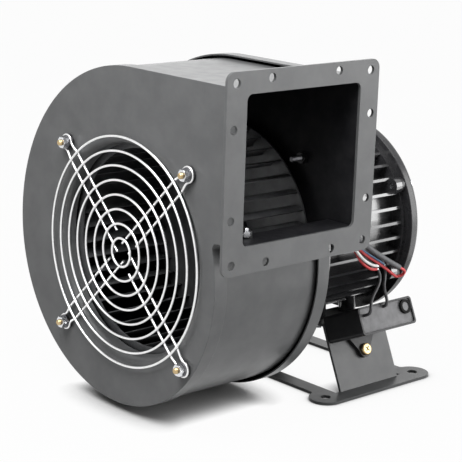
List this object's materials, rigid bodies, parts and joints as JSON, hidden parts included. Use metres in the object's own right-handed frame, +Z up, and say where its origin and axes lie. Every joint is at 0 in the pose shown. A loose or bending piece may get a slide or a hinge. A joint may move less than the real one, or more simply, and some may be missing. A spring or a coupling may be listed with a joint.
{
  "type": "centrifugal blower",
  "caption": "Scroll-cased centrifugal blower with wire inlet guard, flanged rectangular outlet, bladed impeller, finned motor, foot bracket and run capacitor.",
  "frame": {"origin": "centre of the four foot holes, on the underside of the bracket's feet", "axes": "+X out of the outlet, +Y along the shaft from the inlet towards the motor, +Z up"},
  "size_m": [0.2277, 0.2403, 0.2408],
  "materials": {
    "casing_paint": "satin black paint",
    "guard_wire": "bright plated wire",
    "zinc": "zinc plated",
    "yellow_zinc": "yellow passivated zinc",
    "bright_steel": "ground steel",
    "black_steel": "black oxide",
    "impeller_steel": "black painted sheet",
    "core_steel": "laminated core",
    "cage_alloy": "cast cage ring",
    "copper": "enamelled copper end turns",
    "motor_alloy": "black painted casting",
    "bracket_paint": "satin black paint",
    "rubber": "black rubber",
    "cap_case": "black plastic",
    "cap_potting": "grey resin",
    "sleeve": "dark sleeve",
    "red_lead": "red insulation",
    "blue_lead": "blue insulation",
    "white_lead": "white insulation",
    "dark_lead": "black insulation"
  },
  "bodies": {
    "housing": {"front_cover": "casing_paint", "scroll_wrapper": "casing_paint", "back_cover": "casing_paint", "outlet_flange": "casing_paint", "duct_screw": "zinc", "duct_washer": "black_steel", "duct_nut": "zinc", "guard_rings": "guard_wire", "guard_legs": "guard_wire", "guard_spacers": "zinc", "guard_washers": "zinc", "guard_nuts": "zinc", "guard_screws": "yellow_zinc", "front_bearing": "bright_steel", "rear_bearing": "bright_steel", "front_shield": "motor_alloy", "shield_screws": "zinc", "motor_screws": "zinc", "motor_nuts": "black_steel", "motor_body": "motor_alloy", "stator_core": "core_steel", "stator_windings": "copper", "rear_shield": "motor_alloy", "rear_screws": "zinc", "lead_grommet": "rubber", "support_bracket": "bracket_paint", "pad_washers": "zinc", "pad_bolts": "zinc", "capacitor_case": "cap_case", "capacitor_potting": "cap_potting", "capacitor_screw": "yellow_zinc", "capacitor_nut": "zinc", "lead_sleeve": "sleeve", "lead_red_loop": "red_lead", "lead_blue": "blue_lead", "lead_white": "white_lead", "lead_red_short": "red_lead", "capacitor_lead_a": "dark_lead", "capacitor_lead_b": "dark_lead"},
    "rotor": {"impeller_ring": "impeller_steel", "impeller_blades": "impeller_steel", "impeller_disc": "impeller_steel", "impeller_hub": "impeller_steel", "hub_rivets": "zinc", "hub_grub_screw": "black_steel", "shaft": "bright_steel", "rotor_core": "core_steel", "rotor_cage": "cage_alloy", "front_race": "bright_steel", "rear_race": "bright_steel"}
  },
  "joints": [
    {"name": "impeller_spin", "type": "hinge", "parent": "housing", "child": "rotor", "pos_m": [0, -0.12, 0.11], "axis": [0, 1, 0], "continuous": true}
  ]
}
